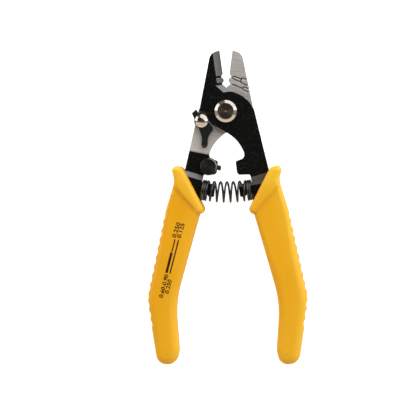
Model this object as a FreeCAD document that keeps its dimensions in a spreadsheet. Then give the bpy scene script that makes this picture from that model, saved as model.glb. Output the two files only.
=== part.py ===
import FreeCAD, Part
import math
import os

import Sketcher

# Fibre stripper: two crossed stamped blades on a pivot bolt, moulded grips, return spring, lock lever and
# closing stop. Millimetres. The tool lies on its back: +X to the right, +Y towards the jaws, +Z up towards
# the viewer. The origin is on the pivot axis, in the plane that the tool rests on. Each arm is drawn in its
# own frame with the tool closed, its mid plane at z = 0, and is then turned open by half_open.

# alias, value, meaning
SIZES = [
    ("half_open", 7.5, "angle of each arm from the closed line, degrees"),
    ("stop_travel", 0.6, "closing angle past the closed line to the stop, degrees"),
    ("plate", 3.0, "blade plate thickness"),
    ("blade_gap", 0.05, "gap between the two blades"),
    ("fit", 0.03, "clearance of a turning or sliding fit, on the radius"),
    ("jaw_len", 28.8, "pivot to jaw tip"),
    ("edge_lap", 0.72, "how far a cutting edge passes the centre line when closed"),
    ("jaw_tip_w", 3.4, "jaw tip width at its corner"),
    ("tip_round", 4.8, "radius of the jaw tip"),
    ("heel_w", 12.6, "centre line to the heel of the jaw"),
    ("heel_y", 1.75, "height of the heel above the pivot"),
    ("hook_w", 9.8, "centre line to the throat of the lever's hook"),
    ("hook_run", 1.9, "how far the hook's lower side runs in from its throat"),
    ("crotch_y", 10.2, "pivot down to the start of the arch"),
    ("arch_x", 5.8, "centre line to the foot of the arch"),
    ("arch_y", 20.5, "pivot down to the foot of the arch"),
    ("arch_r", 2.2, "radius at the foot of the arch"),
    ("bump_x", 1.22, "centre line to the face of the stop bump"),
    ("bump_top_y", 24.1, "pivot down to the top of the bump"),
    ("bump_low_y", 30.6, "pivot down to the bottom of the bump"),
    ("shoulder_w", 13.2, "centre line to the shoulder of the arm"),
    ("arm_w", 16.5, "centre line to the outside of the arm at the joggle"),
    ("joggle_y", 33.2, "pivot down to the joggle"),
    ("joggle_run", 2.6, "length of the joggle's slope"),
    ("joggle_skew", 9.0, "slant of the joggle across the arm, degrees"),
    ("joggle_bend", 0.8, "radius of the joggle's bends"),
    ("tang_end_y", 99.0, "pivot down to the end of the tang"),
    ("tang_w", 7.4, "tang width in the grip"),
    ("tang_lean", 0.25, "how much the tang turns back in below the palm swell"),
    ("notch_1_y", 16.5, "height of the upper stripping notch"),
    ("notch_2_y", 13.05, "height of the lower stripping notch"),
    ("notch_x", 0.32, "depth of the notches past the centre line"),
    ("notch_mouth", 1.2, "half width of the upper notch's mouth"),
    ("tooth_x", 1.22, "point of the tooth between the notches, before rounding"),
    ("tooth_round", 1.2, "radius of the tooth"),
    ("throat_x", 3.25, "centre line to the foot of the throat"),
    ("throat_drop", 4.1, "lower notch down to the foot of the throat"),
    ("bevel_w", 3.1, "width of the ground bevel along the jaw"),
    ("bevel_land", 0.25, "thickness left at the cutting edge"),
    ("throat_bevel_w", 3.2, "width of the ground bevel down the throat, across the blade"),
    ("groove_w", 1.1, "width of the groove ground across the bevel at each notch"),
    ("groove_d", 0.65, "depth of those grooves below the bevel"),
    ("spring_y", 38.6, "pivot down to the spring's axis, closed"),
    ("tab_high", 0.4, "how far the spring tabs sit above the spring's axis"),
    ("seat_x", 7.4, "centre line to the spring's seat on the arm"),
    ("tab_end_x", 1.0, "centre line to the end of the spring tab, closed"),
    ("tab_w", 6.1, "spring tab width"),
    ("tab_neck", 0.7, "how much the tab narrows behind its barb"),
    ("tab_barb", 2.4, "length of the tab's barb"),
    ("tab_clear", 0.3, "how far the tang stands outside the spring's seat"),
    ("coil_r", 4.6, "spring radius to the middle of the wire"),
    ("wire_r", 0.4, "spring wire radius"),
    ("wire_sides", 6, "flat sides that stand for the round of the wire"),
    ("coils", 10, "turns of the spring"),
    ("end_coils", 1.5, "closed turns at each end of the spring"),
    ("end_pitch", 0.95, "pitch of the closed turns"),
    ("coil_start", 180, "angle that the spring is turned about its own axis, degrees"),
    ("seat_gap", 0.1, "spring wire to its seat"),
    ("pivot_r", 3.0, "pivot shank radius"),
    ("pivot_head_r", 5.25, "pivot head radius"),
    ("pivot_rim_r", 3.9, "radius of the head's turned dish"),
    ("pivot_head_h", 2.2, "pivot head height"),
    ("pivot_side_h", 1.05, "straight side of the pivot head"),
    ("dish_depth", 0.35, "depth of the dish in the head"),
    ("centre_r", 0.55, "radius and depth of the turning centre in the dish"),
    ("thread_r", 2.5, "radius of the pivot's threaded end"),
    ("nut_flats", 8.0, "pivot nut across flats"),
    ("washer_r", 4.9, "pivot washer radius"),
    ("washer_h", 0.425, "pivot washer height"),
    ("lock_x", 11.0, "centre line to the lever's rivet, closed"),
    ("lock_y", 6.0, "pivot down to the lever's rivet, closed"),
    ("lock_hub_r", 3.3, "lock lever hub radius"),
    ("lock_thick", 2.2, "lock lever thickness"),
    ("lock_washer_h", 0.4, "friction washer height"),
    ("rivet_r", 1.5, "lever rivet shank radius"),
    ("rivet_head_r", 3.1, "lever rivet head radius"),
    ("rivet_head_h", 1.5, "lever rivet head height"),
    ("rivet_rim_h", 0.35, "straight rim of the rivet head"),
    ("tail_y", 12.6, "lever rivet down to the end of the lever's tail"),
    ("tail_w", 2.9, "width of the lever's tail"),
    ("tail_x", 4.3, "lever rivet to the inner side of the tail"),
    ("lever_edge", 0.25, "chamfer of the lever's upper edges"),
    ("boss_x", 4.9, "centre line to the stop boss, closed"),
    ("boss_y", 27.1, "pivot down to the stop boss, closed"),
    ("boss_r", 4.1, "stop boss radius"),
    ("boss_h", 4.4, "stop boss height"),
    ("boss_edge", 0.35, "chamfer of the stop boss's upper edge"),
    ("boss_stem_r", 2.0, "radius of the boss's riveted stem"),
    ("stop_z", 1.6, "stop screw axis above the boss's seat"),
    ("stop_screw_r", 1.25, "stop screw thread radius"),
    ("stop_nose_r", 1.0, "stop screw nose radius"),
    ("socket_af", 1.5, "hex socket of the stop screw, across flats"),
    ("socket_depth", 3.0, "depth of the hex socket"),
    ("screw_sunk", 0.6, "how far the socket end of the stop screw lies inside the boss"),
    ("nose_base", 0.9, "how far inside the boss the nose of the stop screw starts"),
    ("grip_half", 6.0, "half the thickness of a grip"),
    ("grip_round", 3.6, "edge radius of a grip"),
    ("grip_end_y", 123.0, "pivot down to the end of the grips, closed"),
    ("collar_round", 2.0, "edge radius of the guard collar"),
    ("collar_top_y", 28.4, "pivot down to the top of the guard collar"),
    ("collar_heel_y", 38.0, "pivot down to the outer heel of the guard collar"),
    ("collar_low_y", 47.3, "pivot down to the inner side of the guard collar's toe"),
    ("collar_step", 4.7, "how far the toe reaches below that"),
    ("collar_lip", 6.9, "how far the tip of the guard collar stands outside the arm"),
    ("collar_bow", 9.0, "radius of the hollow between the collar's tip and the neck"),
    ("collar_in", 4.5, "centre line to the toe of the guard collar"),
    ("neck_wall", 3.7, "wall of the neck outside the arm"),
    ("neck_depth", 0.8, "how far the neck is sunk below the grip's face"),
    ("neck_flat", 7.0, "length of the sunk part of the neck"),
    ("neck_run", 26.0, "length over which the neck rises to the grip's face"),
    ("neck_end_y", 53.0, "pivot down to the end of the neck"),
    ("neck_flare", 2.9, "how much the grip widens outwards over the neck"),
    ("palm_out", 26.4, "centre line to the outside of the palm swell"),
    ("palm_in", 12.8, "centre line to the inside of the palm swell"),
    ("palm_y", 93.0, "pivot down to the palm swell"),
    ("neck_r", 60.0, "radius of the outside where the neck meets the palm"),
    ("swell_r", 28.0, "radius of the palm swell, outside"),
    ("hollow_r", 50.0, "radius of the palm swell, inside"),
    ("tang_bend", 20.0, "radius of the tang's bend at the palm swell"),
    ("end_shift", 4.0, "how far the end of the grip lies inside the palm swell"),
    ("end_taper", 8.6, "how far the outside draws in from the palm swell to the end"),
    ("end_heel", 7.5, "length of the heel at the end of the grip"),
    ("end_r", 4.9, "radius of the end of the grip"),
    ("heel_r", 9.0, "radius of the heel at the end of the grip"),
    ("scallop_r", 2.6, "radius of a finger scallop"),
    ("scallop_depth", 0.62, "depth of a finger scallop"),
    ("scallop_pitch", 4.35, "pitch of the finger scallops"),
    ("scallop_count", 13, "number of finger scallops"),
    ("scallop_top_y", 53.1, "pivot down to the first scallop"),
]

os.makedirs("parts", exist_ok=True)
doc = FreeCAD.newDocument("fibre_stripper")
sheet = doc.addObject("Spreadsheet::Sheet", "dims")
for row, (alias, value, meaning) in enumerate(SIZES, start=1):
    sheet.set("A%d" % row, alias)
    sheet.set("B%d" % row, str(value))
    sheet.set("C%d" % row, meaning)
    sheet.setAlias("B%d" % row, alias)
doc.recompute()

parts = []


def size(alias):
    return float(getattr(sheet, alias))


def polar(radius, degrees):
    angle = math.radians(degrees)
    return radius * math.cos(angle), radius * math.sin(angle)


def new_body(name):
    return doc.addObject("PartDesign::Body", name)


def place(part, name, flipped=False, side=0, height="dims.grip_half"):
    """Give a finished part its name and its place: side is -1 on the left arm, +1 on the right one."""
    part.Label = name
    turn = "%d * dims.half_open" % side
    roll = 180 if flipped else 0
    part.setExpression("Placement", "placement(vector(0; 0; %s); rotation(%s; %d; 0))" % (height, turn, roll))
    parts.append(part)
    return part


def new_sketch(body, name, plane="XY_Plane", shift=(0, 0, 0), turn=0):
    """A sketch on one of the body's planes, moved by shift in the plane's frame and turned about its upright."""
    sketch = body.newObject("Sketcher::SketchObject", name)
    support = [item for item in body.Origin.OriginFeatures if item.Role == plane][0]
    sketch.AttachmentSupport = [(support, "")]
    sketch.MapMode = "FlatFace"
    upright = FreeCAD.Vector(0, 0, 1) if plane == "XY_Plane" else FreeCAD.Vector(0, 1, 0)
    sketch.AttachmentOffset = FreeCAD.Placement(FreeCAD.Vector(*shift), FreeCAD.Rotation(upright, turn))
    return sketch


def rounded(corners):
    """Edges of a closed outline whose corners are (x, y, radius), or (x, y) for a point that an arc passes."""
    count = len(corners)
    starts, ends, arcs = [], [], []
    for i, corner in enumerate(corners):
        point = FreeCAD.Vector(corner[0], corner[1], 0)
        before = corners[i - 1]
        after = corners[(i + 1) % count]
        radius = corner[2] if len(corner) > 2 else 0
        if radius <= 0:
            starts.append(point)
            ends.append(point)
            arcs.append(None)
            continue
        to_before = (FreeCAD.Vector(before[0], before[1], 0) - point).normalize()
        to_after = (FreeCAD.Vector(after[0], after[1], 0) - point).normalize()
        half = to_before.getAngle(to_after) / 2
        reach = radius / math.tan(half)
        middle = (to_before + to_after).normalize()
        top = point + middle * (radius / math.sin(half) - radius)
        starts.append(point + to_before * reach)
        ends.append(point + to_after * reach)
        arcs.append(top)
    edges = []
    i = 0
    while i < count:
        following = (i + 1) % count
        if arcs[i] is not None:
            edges.append(Part.Arc(starts[i], arcs[i], ends[i]))
        if len(corners[following]) == 2:
            last = (i + 2) % count
            edges.append(Part.Arc(ends[i], starts[following], starts[last]))
            i += 2
        else:
            if ends[i].distanceToPoint(starts[following]) > 1e-6:
                edges.append(Part.LineSegment(ends[i], starts[following]))
            i += 1
    return edges


def outline(body, name, corners, **where):
    """A closed sketch of rounded corners, its edges tied end to end."""
    sketch = new_sketch(body, name, **where)
    edges = rounded(corners)
    sketch.addGeometry(edges, False)
    count = len(edges)
    for i in range(count):
        sketch.addConstraint(Sketcher.Constraint("Block", i))
    return sketch


def circle(body, name, centre, radius, plane="XY_Plane", shift=(0, 0, 0)):
    """A circle whose radius and centre follow the sheet; centre and radius are formulas of its aliases."""
    sketch = new_sketch(body, name, plane, shift)
    sketch.addGeometry(Part.Circle(FreeCAD.Vector(1, 1, 0), FreeCAD.Vector(0, 0, 1), 1), False)
    sketch.addConstraint(Sketcher.Constraint("Radius", 0, 1.0))
    sketch.setExpression("Constraints[0]", radius)
    for axis, formula in zip(("DistanceX", "DistanceY"), centre):
        index = sketch.addConstraint(Sketcher.Constraint(axis, -1, 1, 0, 3, 1.0))
        sketch.setExpression("Constraints[%d]" % index, formula)
    return sketch


def pad(body, name, sketch, length, both_ways=False):
    feature = body.newObject("PartDesign::Pad", name)
    feature.Profile = sketch
    feature.setExpression("Length", length)
    feature.Midplane = both_ways
    sketch.Visibility = False
    doc.recompute()
    return feature


def pocket(body, name, sketch, length=None, both_ways=True):
    """Cut a sketch through the body both ways, or by a length."""
    feature = body.newObject("PartDesign::Pocket", name)
    feature.Profile = sketch
    if length is None:
        feature.Type = 1
    else:
        feature.setExpression("Length", length)
    feature.Midplane = both_ways
    before = body.Shape.Volume
    doc.recompute()
    if body.Shape.Volume > before - 1e-6:
        raise RuntimeError("%s cuts nothing" % name)
    return feature


def turned(body, name, profile):
    """Turn a profile of (radius, height, rounding) corners about the body's Z axis."""
    sketch = outline(body, name + "_profile", profile, plane="XZ_Plane")
    feature = body.newObject("PartDesign::Revolution", name)
    feature.Profile = sketch
    feature.ReferenceAxis = (sketch, ["V_Axis"])
    feature.Angle = 360
    doc.recompute()
    return feature


def blend(body, name, base, radius, edges):
    feature = body.newObject("PartDesign::Fillet", name)
    feature.Base = (base, edges)
    feature.setExpression("Radius", radius)
    doc.recompute()
    return feature


def chamfer(body, name, base, width, edges):
    feature = body.newObject("PartDesign::Chamfer", name)
    feature.Base = (base, edges)
    feature.setExpression("Size", width)
    doc.recompute()
    return feature


def face_edges(feature, heights):
    """Names of the feature's edges that lie flat at one of the heights."""
    names = []
    for i, edge in enumerate(feature.Shape.Edges, start=1):
        box = edge.BoundBox
        if box.ZLength < 1e-4 and any(abs(box.ZMin - height) < 1e-4 for height in heights):
            names.append("Edge%d" % i)
    return names


# The blade, drawn as the front one: jaw on the left, arm on the right.

blade_top = size("blade_gap") / 2 + size("plate")
blade_low = size("blade_gap") / 2
tab_top_y = size("tab_high") - size("spring_y") + size("tab_w") / 2
tab_low_y = tab_top_y - size("tab_w")
tang_root_y = -(size("spring_y") + size("coil_r") + 3 * size("wire_r"))


def tang_centre(y):
    """Middle of the grip at a height below the pivot: out to the palm swell, then a little back in."""
    palm_y = -size("palm_y")
    top_y = tang_root_y
    top_x = size("seat_x") + size("tang_w") / 2 + size("tab_clear")
    palm_x = (size("palm_out") + size("palm_in")) / 2
    if y > palm_y:
        return top_x + (palm_x - top_x) * (top_y - y) / (top_y - palm_y)
    return palm_x + (y - palm_y) * size("tang_lean")


def throat_foot():
    """Foot of the throat, where it meets the shoulder of the arm."""
    return size("throat_x"), size("notch_2_y") - size("throat_drop")


def blade_corners():
    edge = size("edge_lap")
    half_tang = size("tang_w") / 2
    palm_y = -size("palm_y")
    end_y = -size("tang_end_y")
    neck = size("tab_neck")
    barb_x = size("tab_end_x") + size("tab_barb")
    jaw = [
        (edge, size("jaw_len"), 0.4),
        (-size("jaw_tip_w"), size("jaw_len"), size("tip_round")),
        (-size("heel_w"), size("heel_y"), 0.4),
        (-size("hook_w"), size("heel_y") - 0.6, 1.2),
        (size("hook_run") - size("hook_w"), -0.46 * size("crotch_y"), 2.2),
        (-0.9, -size("crotch_y"), 0),
        (0.56 * size("arch_x"), -(0.57 * size("crotch_y") + 0.43 * size("arch_y"))),
        (size("arch_x"), -size("arch_y"), 0),
    ]
    bump = [
        (size("arch_x") + 0.05, -(size("bump_top_y") - 0.9), size("arch_r")),
        (size("bump_x"), -size("bump_top_y"), 1.1),
        (size("bump_x"), -size("bump_low_y"), 1.6),
        (size("seat_x"), -(size("bump_low_y") + 0.7), 1.0),
    ]
    tab = [
        (size("seat_x"), tab_top_y, 0.3),
        (size("tab_end_x"), tab_top_y, 0.5),
        (size("tab_end_x"), tab_low_y, 0.5),
        (barb_x, tab_low_y, 0.3),
        (barb_x + neck, tab_low_y + neck, 0.3),
        (size("seat_x"), tab_low_y + neck, 0.3),
    ]
    tang = [
        (size("seat_x"), tang_root_y, 0.3),
        (tang_centre(palm_y) - half_tang, palm_y, size("tang_bend")),
        (tang_centre(end_y) - half_tang, end_y, 2),
        (tang_centre(end_y) + half_tang, end_y, 2),
        (tang_centre(palm_y) + half_tang, palm_y, size("tang_bend")),
        (size("arm_w"), -size("joggle_y"), 12),
        (size("shoulder_w"), -1.2, 0),
    ]
    throat = throat_foot()
    cutting = [
        (0.73 * size("shoulder_w"), 0.556 * throat[1]),
        (throat[0], throat[1], 0),
        (-size("notch_x"), size("notch_2_y"), 0.1),
        (size("tooth_x"), (size("notch_1_y") + size("notch_2_y")) / 2, size("tooth_round")),
        (-size("notch_x"), size("notch_1_y"), 0.1),
        (edge, size("notch_1_y") + size("notch_mouth"), 0),
    ]
    return jaw + bump + tab + tang + cutting


def slanted(body, name, corners, start, run):
    """Cut a section of (x, z, radius) corners, centred on start, both ways along a slanted run."""
    middle = start + run * 0.5
    sketch = outline(body, name + "_section", corners, plane="XZ_Plane", shift=(middle.x, middle.z, -middle.y))
    feature = body.newObject("PartDesign::Pocket", name)
    feature.Profile = sketch
    feature.Length = abs(run.y)
    feature.Midplane = True
    feature.UseCustomVector = True
    feature.Direction = run
    feature.AlongSketchNormal = True
    before = body.Shape.Volume
    doc.recompute()
    if body.Shape.Volume > before - 1e-6:
        raise RuntimeError("%s cuts nothing" % name)
    return feature


def bevel_cut(body, name, start, finish, width):
    """Grind a bevel down to its land, from start to finish along the edge; the metal is on its left."""
    land = blade_low + size("bevel_land")
    over = size("plate")
    corners = [
        (-width, blade_top, 0),
        (0, land, 0),
        (over, land, 0),
        (over, blade_top + over, 0),
        (-width, blade_top + over, 0),
    ]
    slanted(body, name, corners, start, finish - start)


def groove_cut(body, name, height):
    """Grind a V groove across the bevel at a notch, as deep at the edge as at the bevel's far side."""
    edge = size("edge_lap")
    half = size("groove_w") / 2
    fall = blade_top - blade_low - size("bevel_land")
    slope = fall / size("bevel_w")
    steep = size("groove_d") / half
    reach = size("bevel_w")
    bottom = blade_low + size("bevel_land") - size("groove_d")
    over = size("plate")
    corners = [
        (height, bottom, 0),
        (height + over, bottom + over * steep, 0),
        (height - over, bottom + over * steep, 0),
    ]
    sketch = outline(body, name + "_section", corners, plane="YZ_Plane", shift=(0, 0, edge))
    feature = body.newObject("PartDesign::Pocket", name)
    feature.Profile = sketch
    feature.Length = 2 * reach
    feature.Midplane = True
    feature.UseCustomVector = True
    feature.Direction = FreeCAD.Vector(-1, 0, slope)
    feature.AlongSketchNormal = True
    doc.recompute()
    return feature


def make_blade(name, flipped, side):
    body = new_body(name + "_body")
    plan = outline(body, name + "_plan", blade_corners(), shift=(0, 0, -size("plate") / 2))
    pad(body, name + "_blank", plan, "1.5 * dims.plate + dims.blade_gap / 2")

    # The joggle brings the arm from its blade's layer to the mid plane of the grips.
    fall = blade_top - size("plate") / 2
    slope = math.atan2(fall, size("joggle_run"))
    offset = size("plate") * math.tan(slope / 2)
    half_run = size("joggle_run") / 2
    bend = size("joggle_bend")
    reach = 2 * size("plate")
    far = size("grip_end_y") + size("jaw_len")
    middle_x = (size("arm_w") + size("arch_x")) / 2
    where = {"plane": "YZ_Plane", "shift": (-size("joggle_y"), 0, middle_x), "turn": size("joggle_skew")}
    above = [
        (half_run, blade_top, bend),
        (-half_run, size("plate") / 2, bend),
        (-far, size("plate") / 2, 0),
        (-far, blade_top + reach, 0),
        (half_run, blade_top + reach, 0),
    ]
    below = [
        (far, blade_low, 0),
        (half_run + offset, blade_low, bend),
        (offset - half_run, -size("plate") / 2, bend),
        (offset - half_run, -size("plate") / 2 - reach, 0),
        (far, -size("plate") / 2 - reach, 0),
    ]
    pocket(body, name + "_joggle_above", outline(body, name + "_above", above, **where))
    pocket(body, name + "_joggle_below", outline(body, name + "_below", below, **where))

    # Ground bevels: one along the cutting edge, one down the throat, and a groove across them at each notch.
    edge = size("edge_lap")
    foot = FreeCAD.Vector(*throat_foot(), 0)
    root = FreeCAD.Vector(-size("notch_x"), size("notch_2_y"), 0)
    tip = FreeCAD.Vector(edge, size("jaw_len") + 2, 0)
    bevel_cut(body, name + "_bevel", FreeCAD.Vector(edge, size("notch_2_y"), 0), tip, size("bevel_w"))
    bevel_cut(body, name + "_throat", foot, root + (root - foot).normalize() * 0.9, size("throat_bevel_w"))
    for number in (1, 2):
        groove_cut(body, "%s_groove_%d" % (name, number), size("notch_%d_y" % number))

    bore = circle(body, name + "_bore", ("0", "0"), "dims.pivot_r + dims.fit")
    pocket(body, name + "_pivot_bore", bore)
    if flipped:
        rivet = circle(body, name + "_rivet", ("dims.lock_x", "-dims.lock_y"), "dims.rivet_r + dims.fit / 2")
        pocket(body, name + "_rivet_hole", rivet)
        stem = circle(body, name + "_stem", ("dims.boss_x", "-dims.boss_y"), "dims.boss_stem_r + dims.fit / 2")
        pocket(body, name + "_stem_hole", stem)
    return place(body, name, flipped, side)


front_blade = make_blade("front_blade", False, 1)
rear_blade = make_blade("rear_blade", True, -1)


# The grips, drawn as the right one.

def grip_outer_x(y):
    """Outside of the grip between the neck and the palm swell, and below it."""
    top_y, palm_y = -size("neck_end_y"), -size("palm_y")
    top_x = size("arm_w") + size("neck_wall") + size("neck_flare")
    if y > palm_y:
        return top_x + (size("palm_out") - top_x) * (top_y - y) / (top_y - palm_y)
    end_x = size("palm_out") - size("end_taper")
    return size("palm_out") + (end_x - size("palm_out")) * (palm_y - y) / (palm_y + size("grip_end_y"))


def make_grip(name, blade, flipped, side):
    end_y = -size("grip_end_y")
    palm_y = -size("palm_y")
    half = size("grip_half")

    handle = new_body(name + "_handle")
    neck_y = -size("neck_end_y")
    corner = size("grip_round") + 0.1
    neck_out = size("arm_w") + size("neck_wall")
    end_in = size("palm_in") - size("end_shift")
    corners = [
        (neck_out - 1.2, 0.1 - size("collar_top_y"), corner),
        (grip_outer_x(neck_y), neck_y, size("neck_r")),
        (size("palm_out"), palm_y, size("swell_r")),
        (grip_outer_x(end_y), end_y, size("end_r")),
        (end_in, end_y, size("end_r")),
        (end_in - 0.6, end_y + size("end_heel"), size("heel_r")),
        (size("palm_in"), palm_y, size("hollow_r")),
        (size("collar_in") + 1.6, -size("collar_low_y"), corner),
    ]
    plan = outline(handle, name + "_plan", corners, shift=(0, 0, -half))
    block = pad(handle, name + "_block", plan, "2 * dims.grip_half")
    blend(handle, name + "_edges", block, "dims.grip_round", face_edges(block, (-half, half)))

    # The neck is sunk behind the guard collar and rises again to the palm, square to the collar's lower side.
    heel = (neck_out + 0.3, -(size("collar_heel_y") + 0.7))
    toe = (size("collar_in") + 1.0, -(size("collar_low_y") + size("collar_step")))
    middle = ((heel[0] + toe[0]) / 2, (heel[1] + toe[1]) / 2)
    turn = -math.degrees(math.atan2(heel[0] - toe[0], heel[1] - toe[1]))
    sunk = half - size("neck_depth")
    flat, rise = size("neck_flat"), size("neck_run")
    under = -size("collar_round") / 2
    for word, up in (("front", 1), ("back", -1)):
        scoop = [
            (under, up * (half + size("plate")), 0),
            (under, up * sunk, 0),
            (flat, up * sunk, 60),
            (rise, up * (half + 0.05), 0),
            (rise, up * (half + size("plate")), 0),
        ]
        section = outline(handle, name + "_neck_" + word, scoop, plane="XZ_Plane",
                          shift=(middle[0], 0, -middle[1]), turn=turn)
        pocket(handle, name + "_scoop_" + word, section, "2 * dims.collar_low_y")

    # Finger scallops down the outside.
    cut = new_sketch(handle, name + "_scallops")
    for i in range(int(size("scallop_count"))):
        y = -(size("scallop_top_y") + i * size("scallop_pitch"))
        x = grip_outer_x(y) + size("scallop_r") - size("scallop_depth")
        cut.addGeometry(Part.Circle(FreeCAD.Vector(x, y, 0), FreeCAD.Vector(0, 0, 1), size("scallop_r")), False)
    pocket(handle, name + "_scallop_cut", cut)

    # The guard collar is a rolled bead from the tip beside the arm down to the toe below the spring.
    collar = new_body(name + "_collar")
    bend = size("collar_round") + 0.2
    guard = [
        (size("arm_w") + size("collar_lip"), -size("collar_top_y"), bend),
        (neck_out + 0.1, 3 - size("collar_heel_y"), size("collar_bow")),
        (heel[0], heel[1], bend),
        (toe[0], toe[1], bend),
        (size("collar_in"), -size("collar_low_y"), bend),
        (size("arm_w") + 0.7, -(size("collar_top_y") + 0.6), 2 * bend),
    ]
    ring = outline(collar, name + "_guard", guard, shift=(0, 0, -half))
    slab = pad(collar, name + "_slab", ring, "2 * dims.grip_half")
    blend(collar, name + "_guard_edges", slab, "dims.collar_round", face_edges(slab, (-half, half)))

    whole = doc.addObject("Part::Fuse", name + "_whole")
    whole.Base = handle
    whole.Tool = collar
    place(whole, name + "_moulding", flipped, side)
    parts.remove(whole)
    doc.recompute()

    # Moulded over the tang, so its cavity is the tang's own shape.
    grip = doc.addObject("Part::Cut", name + "_cut")
    grip.Base = whole
    grip.Tool = blade
    grip.Label = name
    parts.append(grip)
    doc.recompute()
    return grip


right_grip = make_grip("right_grip", front_blade, False, 1)
left_grip = make_grip("left_grip", rear_blade, True, -1)


# Pivot: bolt, washer and nut. Heights are above the resting plane.

front_face = size("grip_half") + blade_top
rear_back = size("grip_half") - blade_top
nut_top = rear_back - size("washer_h")
head_base = front_face + size("blade_gap")


def make_pivot():
    bolt = new_body("pivot_bolt_body")
    head_top = head_base + size("pivot_head_h")
    rim = size("pivot_rim_r")
    dish = head_top - size("dish_depth")
    profile = [
        (0, 0, 0),
        (size("thread_r"), 0, 0),
        (size("thread_r"), nut_top + 0.1, 0),
        (size("pivot_r"), rear_back, 0),
        (size("pivot_r"), head_base, 0),
        (size("pivot_head_r"), head_base, 0),
        (size("pivot_head_r"), head_base + size("pivot_side_h"), 0),
        (rim, head_top, 0),
        (rim - 0.15, head_top, 0),
        (rim - 0.5, dish, 0),
        (size("centre_r"), dish, 0),
        (0, dish - size("centre_r"), 0),
    ]
    turned(bolt, "pivot_turning", profile)
    place(bolt, "pivot_bolt", side=-1, height="0")

    washer = new_body("pivot_washer_body")
    plan = circle(washer, "washer_outside", ("0", "0"), "dims.washer_r")
    plan.AttachmentOffset = FreeCAD.Placement(FreeCAD.Vector(0, 0, nut_top), FreeCAD.Rotation())
    pad(washer, "washer_disc", plan, "dims.washer_h")
    pocket(washer, "washer_hole", circle(washer, "washer_inside", ("0", "0"), "dims.pivot_r + dims.fit"))
    place(washer, "pivot_washer", side=-1, height="0")

    nut = new_body("pivot_nut_body")
    across = size("nut_flats") / math.sqrt(3)
    hexagon = [polar(across, 60 * i) + (0,) for i in range(6)]
    pad(nut, "nut_block", outline(nut, "nut_plan", hexagon),
        "dims.grip_half - dims.blade_gap / 2 - dims.plate - dims.washer_h")
    pocket(nut, "nut_thread", circle(nut, "nut_bore", ("0", "0"), "dims.thread_r + dims.fit"))
    place(nut, "pivot_nut", side=-1, height="0")


make_pivot()


# Lock lever on the rear blade, in the front blade's layer.

lever_seat = size("grip_half") - size("blade_gap") / 2
lever_low = lever_seat + size("lock_washer_h")
lever_top = lever_low + size("lock_thick")


def make_lock():
    x, y = -size("lock_x"), -size("lock_y")
    hub = size("lock_hub_r")
    lever = new_body("lock_lever_body")
    tail_x = x + size("tail_x")
    tail_end = y - size("tail_y")
    tail_round = size("tail_w") / 2 - 0.05
    beak = [
        (x - 1.53 * hub, y + 0.91 * hub, 0.3),
        (x - hub, y + 1.55 * hub, 0.3),
        (x - 0.67 * hub, y + 1.09 * hub, 0.6),
    ]
    thumb_side = [
        (x + 0.09 * hub, y + 1.06 * hub, 0.79 * hub),
        (x + hub, y + 0.06 * hub, 0.79 * hub),
        (x + 1.48 * hub, y - 0.36 * hub, 0.36 * hub),
        (x + 1.97 * hub, y - 0.73 * hub, 0.3),
        (tail_x - 0.35, y - 2.18 * hub, 5),
    ]
    tail = [
        (tail_x, tail_end, tail_round),
        (tail_x - size("tail_w"), tail_end, tail_round),
    ]
    outer_side = [
        (x + 0.33 * hub, y - 2.3 * hub, 5),
        (x - 0.27 * hub, y - 1.06 * hub, 0.73 * hub),
        (x - 1.02 * hub, y - 0.58 * hub, 0.73 * hub),
        (x - 1.06 * hub, y + 0.12 * hub, 0.6 * hub),
    ]
    plan = outline(lever, "lever_plan", beak + thumb_side + tail + outer_side, shift=(0, 0, lever_low))
    plate = pad(lever, "lever_plate", plan, "dims.lock_thick")
    chamfer(lever, "lever_edges", plate, "dims.lever_edge", face_edges(plate, (lever_top,)))
    pocket(lever, "lever_bore", circle(lever, "lever_hole", ("-dims.lock_x", "-dims.lock_y"),
                                       "dims.rivet_r + dims.fit"))
    place(lever, "lock_lever", side=-1, height="0")

    washer = new_body("lock_washer_body")
    ring = circle(washer, "lock_ring", ("-dims.lock_x", "-dims.lock_y"), "dims.lock_hub_r - 0.4")
    ring.AttachmentOffset = FreeCAD.Placement(FreeCAD.Vector(0, 0, lever_seat), FreeCAD.Rotation())
    pad(washer, "lock_disc", ring, "dims.lock_washer_h")
    pocket(washer, "lock_hole", circle(washer, "lock_inside", ("-dims.lock_x", "-dims.lock_y"),
                                       "dims.rivet_r + dims.fit"))
    place(washer, "lock_washer", side=-1, height="0")

    # The domed rivet: a straight rim, then an arc over the head.
    rivet = new_body("lock_rivet_body")
    base = lever_top + size("blade_gap")
    shoulder = base + size("rivet_rim_h")
    crown = base + size("rivet_head_h")
    rise = crown - shoulder
    ball = (size("rivet_head_r") ** 2 + rise ** 2) / (2 * rise)
    half_angle = math.asin(size("rivet_head_r") / ball) / 2
    profile = [
        (0, rear_back, 0),
        (size("rivet_r"), rear_back, 0),
        (size("rivet_r"), base, 0),
        (size("rivet_head_r"), base, 0),
        (size("rivet_head_r"), shoulder, 0),
        (ball * math.sin(half_angle), crown - ball * (1 - math.cos(half_angle))),
        (0, crown, 0),
    ]
    turned(rivet, "rivet_turning", profile)
    rivet.Label = "lock_rivet"
    spot = FreeCAD.Rotation(FreeCAD.Vector(0, 0, 1), -size("half_open")).multVec(FreeCAD.Vector(x, y, 0))
    rivet.Placement = FreeCAD.Placement(spot, FreeCAD.Rotation())
    parts.append(rivet)


make_lock()


# Closing stop: a round boss riveted to the rear blade, crossed by an adjusting screw.

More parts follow.
